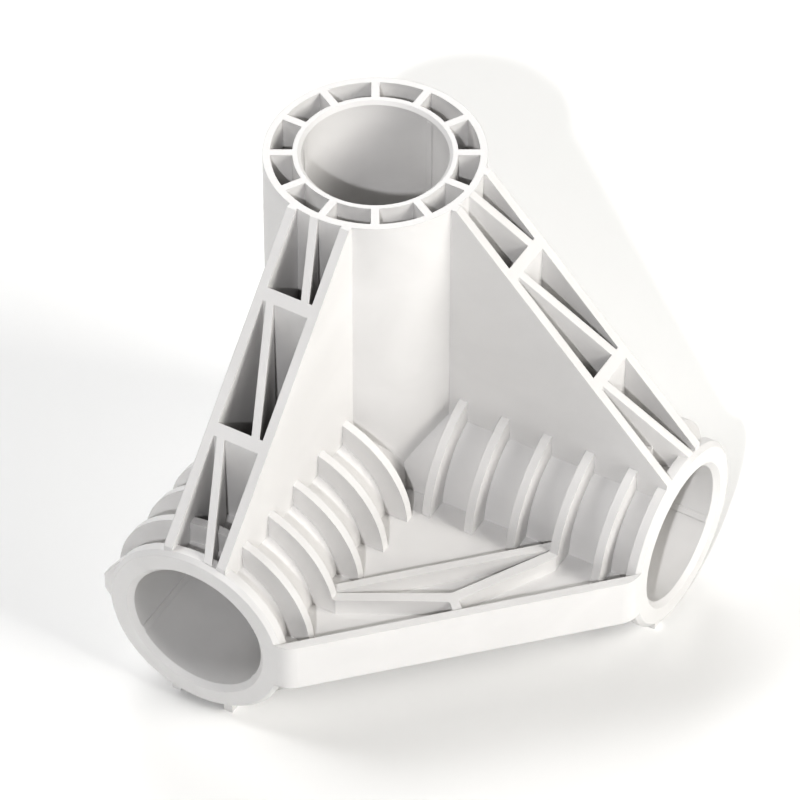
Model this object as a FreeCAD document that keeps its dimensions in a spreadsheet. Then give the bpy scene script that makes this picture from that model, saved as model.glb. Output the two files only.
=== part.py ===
import FreeCAD, Part
import os
import Sketcher

# A moulded plastic corner connector for three round tubes: two level sockets at right angles and one upright.
# X and Y run along the level sockets and Z along the upright. The origin is on the resting plane, straight
# below the point where the three socket axes cross.

SIZES = {
    # the three sockets
    "reach": 104.5,              # from the crossing of the axes to each mouth
    "bore_radius": 21.4,
    "socket_depth": 70.0,        # how far a tube goes in before it meets the stop
    "stop_width": 2.0,           # shoulder that the tube's end meets
    "level_lead_in": 1.6,        # bevel at the mouths of the level sockets
    "upright_lead_in": 1.0,      # bevel at the mouth of the upright socket
    # the upright socket: two walls with radial ribs between them
    "outer_radius": 32.5,        # of the upright, of the fins, and the height of the crossing
    "outer_wall": 2.3,
    "inner_wall": 2.5,
    "rib_thickness": 2.5,
    "rib_count": 12,
    "cell_floor": 27.0,          # height of the cells' floor above the crossing
    "cell_floor_thickness": 3.0,
    "base_pad_radius": 8.0,      # pad in the middle of the underside
    "base_floor": 3.5,
    # the level sockets: a plain skin with round fins and a collar
    "skin_radius": 24.8,
    "collar_radius": 29.3,
    "collar_length": 4.2,
    "collar_bevel": 1.3,
    "fin_start": 34.35,          # from the crossing to the back of the first fin
    "fin_pitch": 14.1,
    "fin_thickness": 2.75,
    "fin_setback": 0.3,          # the fins and rails stop short of the upright's outside
    # the two upright gussets, over the level sockets
    "gusset_width": 20.5,
    "gusset_wall": 2.9,
    "diagonal_width": 2.7,       # of a diagonal rib, measured across the gusset
    "diagonal_lean": 5.0,        # how far off centre each diagonal rib ends
    "keel_end": 101.5,           # from the crossing to the end of the two keels below each level socket
    # the level gusset between the level sockets
    "rim_height": 16.8,
    "rim_thickness": 4.0,        # measured along an axis
    "rim_corner": 30.9,          # from each axis to the rim's sharp corner, in the plane of the mouth
    "rim_round": 8.0,
    "web_thickness": 2.8,
    "brace_height": 14.0,
    "brace_gap": 32.5,           # from the rim's front to the back of the inner brace, along an axis
    "brace_thickness": 4.0,      # measured along an axis
    "fork_gap": 7.7,             # from the rim's front to the point of the fork's pocket, along each axis
    "fork_depth": 2.3,           # of the fork's plastic at its point, along each axis
    "fork_arm": 1.9,             # how far the pocket's ends lie behind the arms' front, along an axis
    "neck_width": 2.0,           # across the neck, along an axis
    "neck_round": 1.2,           # in the neck's four corners
    # rail on the outer side of each level socket, with a lug behind the collar
    "rail_height": 5.6,
    "lug_reach": 33.2,
    "lug_root_height": 21.4,
    "lug_shoulder": 27.8,        # where the lug's flanks start, from the socket's axis
    "lug_thickness": 3.0,
    # three shallow ribs in each bore that hold the tube without play
    "grip_height": 0.2,
    "grip_start": 1.8,           # from the mouth to the start of the ribs
    "grip_span": 5.5,            # each rib's width, in degrees round the bore
    "grip_turn": 42.5,           # of the upright's first rib, in degrees from X
}

doc = FreeCAD.newDocument("tube_connector")
sheet = doc.addObject("Spreadsheet::Sheet", "Sizes")
for row, (alias, number) in enumerate(SIZES.items(), start=1):
    sheet.set(f"A{row}", alias)
    sheet.set(f"B{row}", str(number))
    sheet.setAlias(f"B{row}", alias)
doc.recompute()


class Length:
    """A length with its number and the spreadsheet formula that gives it."""

    def __init__(self, value, formula):
        self.value = value
        self.formula = formula

    def join(self, other, sign, value):
        right = other.formula if isinstance(other, Length) else str(other)
        return Length(value, f"({self.formula} {sign} {right})")

    def __add__(self, other):
        return self.join(other, "+", self.value + amount(other))

    def __sub__(self, other):
        return self.join(other, "-", self.value - amount(other))

    def __mul__(self, other):
        return self.join(other, "*", self.value * amount(other))

    def __truediv__(self, other):
        return self.join(other, "/", self.value / amount(other))

    def __neg__(self):
        return Length(-self.value, f"(0 - {self.formula})")


def amount(length):
    return length.value if isinstance(length, Length) else length


def size(alias):
    return Length(SIZES[alias], f"Sizes.{alias}")


NOTHING = Length(0.0, "")
GROWING = ("Pad", "Revolution")
CUTTING = ("Pocket", "Groove")
reach = size("reach")
bore = size("bore_radius")
outer = size("outer_radius")
crossing = outer
skin = size("skin_radius")
inner_wall_radius = bore + size("inner_wall")
outer_wall_radius = outer - size("outer_wall")
stop = reach - size("socket_depth")
passage = bore - size("stop_width")
fin = size("fin_thickness")
pitch = size("fin_pitch")
fin_edge = outer - size("fin_setback")
FIN_COUNT = 5
fin_backs = [size("fin_start") + pitch * step for step in range(FIN_COUNT)]
fin_fronts = [back + fin for back in fin_backs]
collar = size("collar_radius")
collar_back = reach - size("collar_length")
bevel = size("collar_bevel")
FIRST_RUNG = 1    # the gussets' rungs stand on the second and the fourth fin
SECOND_RUNG = 3
GRIP_COUNT = 3


def bind(thing, where, length):
    """Ties a number of a sketch or a feature to the spreadsheet."""
    thing.setExpression(where, length.formula)


def origin(body, role):
    """One of the body's own planes or axes."""
    return next(part for part in body.Origin.OriginFeatures if part.Role == role)


def sketch_on(body, plane, name, up=NOTHING, along=NOTHING):
    """A sketch on one of the body's own planes, shifted in the plane (up) or off it (along)."""
    sketch = body.newObject("Sketcher::SketchObject", name)
    sketch.AttachmentSupport = [(origin(body, plane), "")]
    sketch.MapMode = "FlatFace"
    sketch.AttachmentOffset = FreeCAD.Placement(FreeCAD.Vector(0, up.value, along.value), FreeCAD.Rotation())
    if up.formula:
        bind(sketch, "AttachmentOffset.Base.y", up)
    if along.formula:
        bind(sketch, "AttachmentOffset.Base.z", along)
    return sketch


def pin(sketch, edge, end, x, y):
    """Holds one end of an edge at two lengths from the sketch's origin."""
    for kind, axis, length in (("DistanceX", -2, x), ("DistanceY", -1, y)):
        if length.formula:
            index = sketch.addConstraint(Sketcher.Constraint(kind, edge, end, length.value))
            bind(sketch, f"Constraints[{index}]", length)
        else:
            sketch.addConstraint(Sketcher.Constraint("PointOnObject", edge, end, axis))


def outline(sketch, corners):
    """A closed outline of straight edges."""
    first = sketch.GeometryCount
    points = [FreeCAD.Vector(x.value, y.value, 0) for x, y in corners]
    sketch.addGeometry([Part.LineSegment(a, b) for a, b in zip(points, points[1:] + points[:1])], False)
    last = first + len(corners) - 1
    for edge, (x, y) in enumerate(corners, start=first):
        before = edge - 1 if edge > first else last
        sketch.addConstraint(Sketcher.Constraint("Coincident", before, 2, edge, 1))
        pin(sketch, edge, 1, x, y)


def circle(sketch, radius):
    edge = sketch.addGeometry(Part.Circle(FreeCAD.Vector(), FreeCAD.Vector(0, 0, 1), radius.value), False)
    sketch.addConstraint(Sketcher.Constraint("Coincident", edge, 3, -1, 1))
    index = sketch.addConstraint(Sketcher.Constraint("Radius", edge, radius.value))
    bind(sketch, f"Constraints[{index}]", radius)


def check(thing):
    bad = [state for state in thing.State if state in ("Invalid", "Error")]
    if bad or thing.Shape.isNull() or not thing.Shape.isValid():
        raise RuntimeError(f"{thing.Label} failed: {thing.State} {thing.getStatusString()}")


def configure(thing, settings):
    """Sets a feature's properties, the lengths among them by formula."""
    for key, value in settings.items():
        if isinstance(value, Length):
            setattr(thing, key, value.value)
            bind(thing, key, value)
        else:
            setattr(thing, key, value)


def feature(body, kind, name, sketch, **settings):
    """Adds a feature to a body and checks that it changed the volume the way it should."""
    before = body.Shape.Volume if body.Tip else 0.0
    thing = body.newObject(f"PartDesign::{kind}", name)
    if sketch is not None:
        thing.Profile = sketch
        sketch.Visibility = False
    configure(thing, settings)
    body.Tip = thing
    doc.recompute()
    check(thing)
    change = body.Shape.Volume - before
    if kind in GROWING + CUTTING and (change > 0) != (kind in GROWING):
        raise RuntimeError(f"{name} changed the volume by {change:.1f}")
    return thing


def turned(body, name, features, count, angle):
    """Repeats features about the upright's axis."""
    return feature(body, "PolarPattern", name, None, Originals=features, Axis=(origin(body, "Z_Axis"), [""]),
                   Angle=angle, Occurrences=count)


gussets = doc.addObject("PartDesign::Body", "gussets")

# Upright gusset over the X socket: first solid, then cored from above, so that two walls are left with rungs
# and a diagonal rib between them.
half_width = size("gusset_width") / 2
core_half = half_width - size("gusset_wall")
toe = reach - bevel
gusset_side = sketch_on(gussets, "XZ_Plane", "gusset_side", up=crossing)
outline(gusset_side, [(NOTHING, NOTHING), (toe, NOTHING), (toe, collar), (outer, reach), (NOTHING, reach)])
gusset = feature(gussets, "Pad", "gusset", gusset_side, Length=size("gusset_width"), Midplane=True)

bays = [
    (fin_backs[FIRST_RUNG] - pitch * 2 + fin, fin_backs[FIRST_RUNG]),
    (fin_fronts[FIRST_RUNG], fin_backs[SECOND_RUNG]),
    (fin_fronts[SECOND_RUNG], reach),
]
lean = size("diagonal_lean")
half_rib = size("diagonal_width") / 2
gusset_cores = sketch_on(gussets, "XY_Plane", "gusset_cores", along=crossing + reach)
for near, far in bays:
    outline(gusset_cores, [(near, half_rib - lean), (far, lean + half_rib), (far, core_half),
                           (near, core_half)])
    outline(gusset_cores, [(near, -core_half), (far, -core_half), (far, lean - half_rib),
                           (near, -lean - half_rib)])
gusset_cells = feature(gussets, "Pocket", "gusset_cells", gusset_cores, Length=reach)

# Two keels below the X socket, in line with the gusset's walls.
keel_plan = sketch_on(gussets, "XY_Plane", "keel_plan")
for inside, outside in ((core_half, half_width), (-half_width, -core_half)):
    keel_end = size("keel_end")
    outline(keel_plan, [(bore, inside), (keel_end, inside), (keel_end, outside), (bore, outside)])
keels = feature(gussets, "Pad", "keels", keel_plan, Length=crossing)

# The Y socket has the same gusset and keels, turned by a quarter.
turned(gussets, "gusset_pair", [gusset, gusset_cells, keels], 2, 90.0)

# A thin rail on the outer side of each level socket, and a lug where it meets the collar.
rail_half = size("rail_height") / 2
lug_root = size("lug_root_height") / 2
lug_reach = size("lug_reach")
lug_shoulder = size("lug_shoulder")
lug_back = collar_back - size("lug_thickness")
for plane, letter, reverse in (("YZ_Plane", "x", False), ("XZ_Plane", "y", True)):
    rail_end = sketch_on(gussets, plane, f"rail_{letter}_end", up=crossing)
    outline(rail_end, [(-bore, rail_half), (-fin_edge, rail_half), (-fin_edge, -rail_half),
                       (-bore, -rail_half)])
    feature(gussets, "Pad", f"rail_{letter}", rail_end, Length=collar_back, Reversed=reverse)
    lug_start = -lug_back if reverse else lug_back
    lug_side = sketch_on(gussets, plane, f"lug_{letter}_side", up=crossing, along=lug_start)
    outline(lug_side, [(-bore, lug_root), (-lug_shoulder, lug_root), (-lug_reach, rail_half),
                       (-lug_reach, -rail_half), (-lug_shoulder, -lug_root), (-bore, -lug_root)])
    feature(gussets, "Pad", f"lug_{letter}", lug_side, Length=size("lug_thickness"), Reversed=reverse)

# Level gusset: a thin web, a brace with a fork in front of it, and a tall rim across the front.
corner = size("rim_corner")
rim = size("rim_thickness")
web_edge = corner - rim / 2
web_plan = sketch_on(gussets, "XY_Plane", "web_plan", along=crossing)
outline(web_plan, [(NOTHING, NOTHING), (reach, NOTHING), (reach, web_edge), (web_edge, reach),
                   (NOTHING, reach)])
feature(gussets, "Pad", "web", web_plan, Length=size("web_thickness"), Midplane=True)

front = reach + corner
brace_back = front - size("brace_gap")
brace_front = brace_back + size("brace_thickness")
fork_point = front / 2 - size("fork_gap")
fork_outer = fork_point + size("fork_depth")
neck_half = size("neck_width") / 2
neck_end = (front - rim / 2) / 2
root = fin_fronts[SECOND_RUNG]
pocket_end = root - size("fork_arm")
brace_plan = sketch_on(gussets, "XY_Plane", "brace_plan", along=crossing)
outline(brace_plan, [
    (root, brace_back - root), (root, outer), (fork_outer + neck_half, fork_outer - neck_half),
    (neck_end + neck_half, neck_end - neck_half), (neck_end - neck_half, neck_end + neck_half),
    (fork_outer - neck_half, fork_outer + neck_half), (outer, root), (brace_back - root, root),
])
outline(brace_plan, [(pocket_end, brace_front - pocket_end), (fork_point, fork_point),
                     (brace_front - pocket_end, pocket_end)])
feature(gussets, "Pad", "brace", brace_plan, Length=size("brace_height"), Midplane=True)

rim_plan = sketch_on(gussets, "XY_Plane", "rim_plan", along=crossing)
outline(rim_plan, [(reach, corner), (corner, reach), (corner - rim, reach), (reach, corner - rim)])
feature(gussets, "Pad", "rim", rim_plan, Length=size("rim_height"), Midplane=True)


def edges_where(body, test):
    """Names of the body's edges that pass a test."""
    return [f"Edge{number}" for number, edge in enumerate(body.Shape.Edges, start=1) if test(edge)]


def on_rim_corner(edge):
    """True for the upright edges where the rim's front meets a collar."""
    start, end = (edge.valueAt(limit) for limit in edge.ParameterRange)
    if abs(start.x - end.x) > 0.01 or abs(start.y - end.y) > 0.01:
        return False
    place = sorted((start.x, start.y))
    return abs(place[0] - corner.value) < 0.01 and abs(place[1] - reach.value) < 0.01


def in_neck_corner(edge):
    """True for the upright edges beside the neck, at the fork and at the rim."""
    start, end = (edge.valueAt(limit) for limit in edge.ParameterRange)
    if abs(start.x - end.x) > 0.01 or abs(start.y - end.y) > 0.01:
        return False
    return abs(abs(start.x - start.y) - 2 * neck_half.value) < 0.01 and start.x + start.y > brace_front.value


def fillet(body, name, test, radius):
    return feature(body, "Fillet", name, None, Base=(body.Tip, edges_where(body, test)), Radius=radius)


fillet(gussets, "rim_ends", on_rim_corner, size("rim_round"))
fillet(gussets, "neck_corners", in_neck_corner, size("neck_round"))

# The gussets end inside the upright's outer wall.
upright_hole = sketch_on(gussets, "XY_Plane", "upright_hole")
circle(upright_hole, outer - size("outer_wall") / 2)
feature(gussets, "Pocket", "room_for_upright", upright_hole, Reversed=True, Length=crossing + reach)

upright = doc.addObject("PartDesign::Body", "upright")

# The upright, solid at first, then its ring of cells from above and from below.
upright_plan = sketch_on(upright, "XY_Plane", "upright_plan")
circle(upright_plan, outer)
feature(upright, "Pad", "upright", upright_plan, Length=crossing + reach)


def cell(sketch, inside, outside):
    """One cell of the ring, between two radial ribs."""
    half = size("rib_thickness") / 2
    centre = FreeCAD.Vector()
    up = FreeCAD.Vector(0, 0, 1)
    middle = FreeCAD.Vector(1, 0, 0)
    step = FreeCAD.Rotation(up, 180.0 / SIZES["rib_count"])
    starts = []
    for radius in (inside, outside):
        x = (radius.value ** 2 - half.value ** 2) ** 0.5
        starts.append(FreeCAD.Vector(x, half.value, 0))
    middle = step.multVec(middle)
    ends = [middle * (2 * middle.dot(point)) - point for point in starts]
    arcs = []
    for radius, start, end in zip((inside, outside), starts, ends):
        ring = Part.Circle(centre, up, radius.value)
        arcs.append(Part.ArcOfCircle(ring, ring.parameter(start), ring.parameter(end)))
    first = sketch.addGeometry(arcs[0], False)
    second = sketch.addGeometry(arcs[1], False)
    low = sketch.addGeometry(Part.LineSegment(starts[0], starts[1]), False)
    high = sketch.addGeometry(Part.LineSegment(ends[0], ends[1]), False)
    axis = sketch.addGeometry(Part.LineSegment(centre, middle * outside.value), True)
    for arc, radius in ((first, inside), (second, outside)):
        sketch.addConstraint(Sketcher.Constraint("Coincident", arc, 3, -1, 1))
        index = sketch.addConstraint(Sketcher.Constraint("Radius", arc, radius.value))
        bind(sketch, f"Constraints[{index}]", radius)
        sketch.addConstraint(Sketcher.Constraint("Symmetric", arc, 1, arc, 2, axis))
        index = sketch.addConstraint(Sketcher.Constraint("DistanceY", arc, 1, half.value))
        bind(sketch, f"Constraints[{index}]", half)
    for line, end in ((low, 1), (high, 2)):
        sketch.addConstraint(Sketcher.Constraint("Coincident", line, 1, first, end))
        sketch.addConstraint(Sketcher.Constraint("Coincident", line, 2, second, end))
    sketch.addConstraint(Sketcher.Constraint("Coincident", axis, 1, -1, 1))
    sketch.addConstraint(Sketcher.Constraint("PointOnObject", axis, 2, second))
    angle = sketch.addConstraint(Sketcher.Constraint("Angle", -1, 1, axis, 1, step.Angle))
    sketch.setExpression(f"Constraints[{angle}]", "180 / Sizes.rib_count")


cell_floor = size("cell_floor")
top_cell = sketch_on(upright, "XY_Plane", "top_cell", along=crossing + reach)
cell(top_cell, inner_wall_radius, outer_wall_radius)
top_core = feature(upright, "Pocket", "top_core", top_cell, Length=reach - cell_floor)
top_cells = turned(upright, "top_cells", [top_core], SIZES["rib_count"], 360.0)
bind(top_cells, "Occurrences", size("rib_count"))

under_cell = sketch_on(upright, "XY_Plane", "under_cell")
cell(under_cell, inner_wall_radius, outer_wall_radius)
under_core = feature(upright, "Pocket", "under_core", under_cell, Reversed=True,
                     Length=crossing + cell_floor - size("cell_floor_thickness"))
under_cells = turned(upright, "under_cells", [under_core], SIZES["rib_count"], 360.0)
bind(under_cells, "Occurrences", size("rib_count"))

base_cell = sketch_on(upright, "XY_Plane", "base_cell")
cell(base_cell, size("base_pad_radius"), bore)
base_core = feature(upright, "Pocket", "base_core", base_cell, Reversed=True,
                    Length=crossing - passage - size("base_floor"))
base_cells = turned(upright, "base_cells", [base_core], SIZES["rib_count"], 360.0)
bind(base_cells, "Occurrences", size("rib_count"))

sockets = doc.addObject("PartDesign::Body", "level_sockets")

# The level sockets: a skin with a collar at its mouth, and five round fins along it.
socket_profile = sketch_on(sockets, "XZ_Plane", "socket_profile", up=crossing)
outline(socket_profile, [(NOTHING, NOTHING), (reach, NOTHING), (reach, collar - bevel),
                         (reach - bevel, collar), (collar_back, collar), (collar_back, skin),
                         (NOTHING, skin)])
socket = feature(sockets, "Revolution", "socket", socket_profile, ReferenceAxis=(socket_profile, ["H_Axis"]))
turned(sockets, "socket_pair", [socket], 2, 90.0)

fin_profile = sketch_on(sockets, "XZ_Plane", "fin_profile", up=crossing)
outline(fin_profile, [(fin_backs[0], NOTHING), (fin_fronts[0], NOTHING), (fin_fronts[0], fin_edge),
                      (fin_backs[0], fin_edge)])
first_fin = feature(sockets, "Revolution", "first_fin", fin_profile, ReferenceAxis=(fin_profile, ["H_Axis"]))
fins = sockets.newObject("PartDesign::MultiTransform", "fins")
row = sockets.newObject("PartDesign::LinearPattern", "fin_row")
row.Direction = (origin(sockets, "X_Axis"), [""])
row.Length = (pitch * (FIN_COUNT - 1)).value
bind(row, "Length", pitch * (FIN_COUNT - 1))
row.Occurrences = FIN_COUNT
pair = sockets.newObject("PartDesign::PolarPattern", "fin_pair")
pair.Axis = (origin(sockets, "Z_Axis"), [""])
pair.Angle = 90.0
pair.Occurrences = 2
fins.Originals = [first_fin]
fins.Transformations = [row, pair]
sockets.Tip = fins
doc.recompute()
check(fins)

bores = doc.addObject("PartDesign::Body", "bores")

# The bores: a bevel at the mouth, the tube's seat, a shoulder for its end and a narrower passage.
level_lead = size("level_lead_in")
bore_profile = sketch_on(bores, "XZ_Plane", "bore_profile", up=crossing)
outline(bore_profile, [(NOTHING, NOTHING), (reach, NOTHING), (reach, bore + level_lead),
                       (reach - level_lead, bore), (stop, bore), (stop, passage), (NOTHING, passage)])
level_bore = feature(bores, "Revolution", "level_bore", bore_profile,
                     ReferenceAxis=(bore_profile, ["H_Axis"]))
turned(bores, "level_bores", [level_bore], 2, 90.0)

upright_lead = size("upright_lead_in")
upright_profile = sketch_on(bores, "XZ_Plane", "upright_profile", up=crossing)
outline(upright_profile, [(NOTHING, -passage), (passage, -passage), (passage, stop), (bore, stop),
                          (bore, reach - upright_lead), (bore + upright_lead, reach), (NOTHING, reach)])
feature(bores, "Revolution", "upright_bore", upright_profile, ReferenceAxis=(upright_profile, ["V_Axis"]))

# Grooves along the cores leave the shallow ribs that grip a tube.
grip_face = bore - size("grip_height")
grip_end = reach - size("grip_start")
OUTSIDE = 1.0
level_grip_side = sketch_on(bores, "XZ_Plane", "level_grip_side", up=crossing)
outline(level_grip_side, [(stop, grip_face), (grip_end, grip_face), (grip_end, bore + OUTSIDE),
                          (stop, bore + OUTSIDE)])
level_grip = feature(bores, "Groove", "level_grip", level_grip_side, Angle=size("grip_span"), Midplane=True,
                     ReferenceAxis=(level_grip_side, ["H_Axis"]))
level_grips = bores.newObject("PartDesign::MultiTransform", "level_grips")
around = bores.newObject("PartDesign::PolarPattern", "around_socket")
around.Axis = (level_grip_side, ["H_Axis"])
around.Angle = 360.0
around.Occurrences = GRIP_COUNT
across = bores.newObject("PartDesign::PolarPattern", "across_sockets")
across.Axis = (origin(bores, "Z_Axis"), [""])
across.Angle = 90.0
across.Occurrences = 2
level_grips.Originals = [level_grip]
level_grips.Transformations = [around, across]
bores.Tip = level_grips
doc.recompute()
check(level_grips)

upright_grip_side = sketch_on(bores, "XZ_Plane", "upright_grip_side", up=crossing)
outline(upright_grip_side, [(grip_face, stop), (bore + OUTSIDE, stop), (bore + OUTSIDE, grip_end),
                            (grip_face, grip_end)])
turned_side = upright_grip_side.AttachmentOffset
turned_side.Rotation = FreeCAD.Rotation(FreeCAD.Vector(0, 1, 0), SIZES["grip_turn"])
upright_grip_side.AttachmentOffset = turned_side
upright_grip_side.setExpression("AttachmentOffset.Rotation.Angle", "Sizes.grip_turn")
upright_grip = feature(bores, "Groove", "upright_grip", upright_grip_side, Angle=size("grip_span"),
                       Midplane=True, ReferenceAxis=(upright_grip_side, ["V_Axis"]))
turned(bores, "upright_grips", [upright_grip], GRIP_COUNT, 360.0)

# The moulding: everything joined, then the three bores cut out of it.
solid = doc.addObject("Part::MultiFuse", "solid")
solid.Shapes = [upright, gussets, sockets]
moulding = doc.addObject("Part::Cut", "connector_moulding")
moulding.Label = "connector_moulding"
moulding.Base = solid
moulding.Tool = bores
doc.recompute()

problems = [thing.Label for thing in doc.Objects if {"Invalid", "Error"} & set(thing.State)]
if problems:
    raise RuntimeError("failed: " + ", ".join(problems))
check(moulding)
shape = moulding.Shape
print("solids", len(shape.Solids), "faces", len(shape.Faces), "volume", round(shape.Volume), shape.BoundBox)
if len(shape.Solids) != 1:
    raise RuntimeError("the moulding is in more than one piece")
os.makedirs("parts", exist_ok=True)
shape.exportStep(f"parts/{moulding.Label}.step")
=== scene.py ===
import math

import bmesh
import bpy
from mathutils import Matrix, Vector


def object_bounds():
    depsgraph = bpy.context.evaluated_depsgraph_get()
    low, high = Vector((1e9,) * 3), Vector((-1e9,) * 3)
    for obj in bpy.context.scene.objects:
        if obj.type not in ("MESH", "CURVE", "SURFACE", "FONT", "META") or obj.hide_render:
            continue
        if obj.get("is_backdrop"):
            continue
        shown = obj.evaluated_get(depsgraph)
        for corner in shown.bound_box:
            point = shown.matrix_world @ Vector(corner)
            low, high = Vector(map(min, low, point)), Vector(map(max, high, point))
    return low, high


# A white moulded connector for three round tubes, on a pale studio floor. The moulding is one piece, so it is
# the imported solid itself, with its plastic given here.

MM = 0.001
PICTURE_SIDE = 800         # pixels
FLOOR_HALF_SIDE = 3.0      # the floor ends a good way past the picture's edge

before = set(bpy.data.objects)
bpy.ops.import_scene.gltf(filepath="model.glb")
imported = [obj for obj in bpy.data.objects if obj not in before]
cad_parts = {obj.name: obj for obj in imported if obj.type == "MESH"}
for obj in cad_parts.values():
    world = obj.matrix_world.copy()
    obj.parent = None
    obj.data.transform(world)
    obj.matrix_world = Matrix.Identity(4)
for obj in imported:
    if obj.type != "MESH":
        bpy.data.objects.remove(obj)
low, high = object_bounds()
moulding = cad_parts["connector_moulding"]

# The point where the three socket axes cross. The three sockets reach equally far from it, so it lies as far
# under the top as the level mouths lie out along X and Y.
socket_reach = high.x
crossing = Vector((0, 0, high.z - socket_reach))


def linear(hex_colour):
    """Turns an sRGB hex colour to the linear values that shaders and lights take."""
    channels = []
    for start in (1, 3, 5):
        value = int(hex_colour[start:start + 2], 16) / 255
        channels.append(value / 12.92 if value <= 0.04045 else ((value + 0.055) / 1.055) ** 2.4)
    return (*channels, 1.0)


def add_node(tree, kind, settings=None, links=None):
    """Adds a node, sets its properties and sockets by name, and links its sockets to earlier outputs."""
    node = tree.nodes.new(kind)
    for name, value in (settings or {}).items():
        if hasattr(node, name):
            setattr(node, name, value)
        else:
            node.inputs[name].default_value = value
    for name, source in (links or {}).items():
        tree.links.new(source, node.inputs[name])
    return node


def new_material(name):
    """An empty material and its node tree."""
    material = bpy.data.materials.new(name)
    material.use_nodes = True
    material.node_tree.nodes.clear()
    return material, material.node_tree


def moulded_white_plastic():
    """Glass-filled polypropylene, injection moulded in a tool with a fine sparked finish.

    The grain breaks up reflections, so that the plastic looks satin and never glossy. Where the melt flowed
    on, the white drifts a little in tone, and the skin is now smoother and now drier.
    """
    greyer_white = "#E1E0DF"
    purer_white = "#E7E6E5"
    tone_starts = 0.32         # of the flow pattern's range
    tone_ends = 0.68
    flow_length = 38 * MM      # the melt's drift in tone
    grain_size = 0.9 * MM      # a sparked finish is about 0.1 mm, drawn coarser so that it shows
    grain_depth = 0.012 * MM
    ripple_length = 11 * MM    # the faint unevenness of a cooled flat wall
    ripple_depth = 0.05 * MM
    edge_radius = 0.35 * MM    # the small radius of every moulded edge

    material, tree = new_material("moulded_white_polypropylene")
    place = add_node(tree, "ShaderNodeTexCoord").outputs["Object"]
    flow = add_node(tree, "ShaderNodeTexNoise", {
        "Scale": 1 / flow_length, "Detail": 3.0, "Roughness": 0.55, "Distortion": 0.6,
    }, {"Vector": place})
    grain = add_node(tree, "ShaderNodeTexNoise", {
        "Scale": 1 / grain_size, "Detail": 2.0, "Roughness": 0.6,
    }, {"Vector": place})
    ripple = add_node(tree, "ShaderNodeTexNoise", {
        "Scale": 1 / ripple_length, "Detail": 1.0,
    }, {"Vector": place})

    tone = add_node(tree, "ShaderNodeValToRGB", links={"Fac": flow.outputs["Fac"]})
    tone.color_ramp.elements[0].position = tone_starts
    tone.color_ramp.elements[0].color = linear(greyer_white)
    tone.color_ramp.elements[1].position = tone_ends
    tone.color_ramp.elements[1].color = linear(purer_white)
    dryness = add_node(tree, "ShaderNodeMapRange", {
        "From Min": 0.3, "From Max": 0.7, "To Min": 0.42, "To Max": 0.54,
    }, {"Value": flow.outputs["Fac"]})

    edges = add_node(tree, "ShaderNodeBevel", {"samples": 4, "Radius": edge_radius})
    uneven = add_node(tree, "ShaderNodeBump", {"Strength": 0.5, "Distance": ripple_depth}, {
        "Height": ripple.outputs["Fac"], "Normal": edges.outputs["Normal"],
    })
    sparked = add_node(tree, "ShaderNodeBump", {"Strength": 0.6, "Distance": grain_depth}, {
        "Height": grain.outputs["Fac"], "Normal": uneven.outputs["Normal"],
    })
    plastic = add_node(tree, "ShaderNodeBsdfPrincipled", {"IOR": 1.49, "Specular IOR Level": 0.45}, {
        "Base Color": tone.outputs["Color"],
        "Roughness": dryness.outputs["Result"],
        "Normal": sparked.outputs["Normal"],
    })
    add_node(tree, "ShaderNodeOutputMaterial", links={"Surface": plastic.outputs["BSDF"]})
    return material


def studio_paper():
    """White seamless paper: dead matt and pale, so that it hardly shows."""
    material, tree = new_material("studio_paper")
    paper = add_node(tree, "ShaderNodeBsdfPrincipled", {
        "Base Color": linear("#F8F8F7"), "Roughness": 0.95, "Specular IOR Level": 0.1,
    })
    add_node(tree, "ShaderNodeOutputMaterial", links={"Surface": paper.outputs["BSDF"]})
    return material


def lay_floor():
    """The paper that the moulding stands on."""
    shape = bmesh.new()
    bmesh.ops.create_grid(shape, x_segments=1, y_segments=1, size=FLOOR_HALF_SIDE)
    mesh = bpy.data.meshes.new("floor")
    shape.to_mesh(mesh)
    shape.free()
    mesh.materials.append(studio_paper())
    floor = bpy.data.objects.new("floor", mesh)
    bpy.context.scene.collection.objects.link(floor)
    floor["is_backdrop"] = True


def direction(azimuth, elevation):
    """Unit vector towards an azimuth, from +X towards +Y, and a height above the horizon, in degrees."""
    turn = math.radians(azimuth)
    rise = math.radians(elevation)
    return Vector((math.cos(rise) * math.cos(turn), math.cos(rise) * math.sin(turn), math.sin(rise)))


def hang_light(name, azimuth, elevation, distance, width, power, colour):
    """A square softbox that faces the moulding, in degrees, metres and watts."""
    data = bpy.data.lights.new(name, "AREA")
    data.size = width
    data.energy = power
    data.color = linear(colour)[:3]
    light = bpy.data.objects.new(name, data)
    bpy.context.scene.collection.objects.link(light)
    towards = direction(azimuth, elevation)
    light.location = crossing + towards * distance
    light.rotation_euler = (-towards).to_track_quat("-Z", "Y").to_euler()


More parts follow.
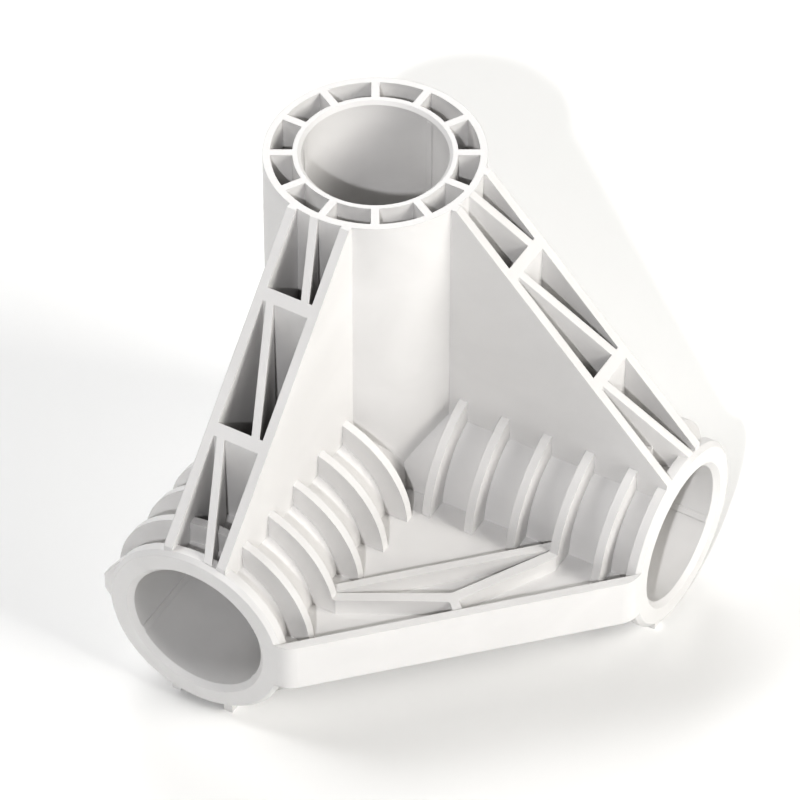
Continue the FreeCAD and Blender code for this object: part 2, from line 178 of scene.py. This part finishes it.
def light_studio():
    """A small softbox far off at the front, a large one on the right, two behind, and a dim room round them.

    The front one is so far off that its shadows run parallel and have crisp edges.
    """
    hang_light("front_softbox", azimuth=19.5, elevation=39.5, distance=8.0, width=0.2, power=184.0,
               colour="#FDFDFF")
    hang_light("right_softbox", azimuth=94.0, elevation=31.0, distance=1.7, width=0.8, power=15.4,
               colour="#FFFDF9")
    hang_light("back_left_softbox", azimuth=280.0, elevation=50.0, distance=1.7, width=0.8, power=8.2,
               colour="#FFFFFF")
    hang_light("back_softbox", azimuth=215.0, elevation=45.0, distance=1.7, width=0.8, power=7.6,
               colour="#FFFFFF")
    room_light = 0.03
    world = bpy.data.worlds.new("studio_room")
    world.use_nodes = True
    world.node_tree.nodes["Background"].inputs["Color"].default_value = linear("#FFFFFF")
    world.node_tree.nodes["Background"].inputs["Strength"].default_value = room_light
    bpy.context.scene.world = world


def set_camera():
    """A long lens from the front and above, with the picture shifted as the photograph's is."""
    towards = direction(azimuth=30.22, elevation=44.93)
    distance = 1.6923    # metres from the crossing of the axes
    roll = math.radians(-0.14)
    focal_pixels = 5636.0
    centre_across = 375.9    # where the crossing of the axes lies in the picture, in pixels
    centre_down = 409.8
    level = Vector((0, 0, 1)).cross(towards).normalized()
    rise = towards.cross(level)
    right = level * math.cos(roll) + rise * math.sin(roll)
    up = rise * math.cos(roll) - level * math.sin(roll)
    data = bpy.data.cameras.new("camera")
    data.sensor_width = 36.0
    data.lens = focal_pixels * data.sensor_width / PICTURE_SIDE
    data.shift_x = 0.5 - centre_across / PICTURE_SIDE
    data.shift_y = centre_down / PICTURE_SIDE - 0.5
    data.clip_start = 0.05
    data.clip_end = 20.0
    camera = bpy.data.objects.new("camera", data)
    bpy.context.scene.collection.objects.link(camera)
    turn = Matrix((right, up, towards)).transposed()
    camera.matrix_world = Matrix.Translation(crossing + towards * distance) @ turn.to_4x4()
    bpy.context.scene.camera = camera


moulding.material_slots[0].material = moulded_white_plastic()
lay_floor()
light_studio()
set_camera()
bpy.context.scene.view_settings.view_transform = "Standard"
bpy.context.scene.view_settings.look = "High Contrast"

low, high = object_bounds()
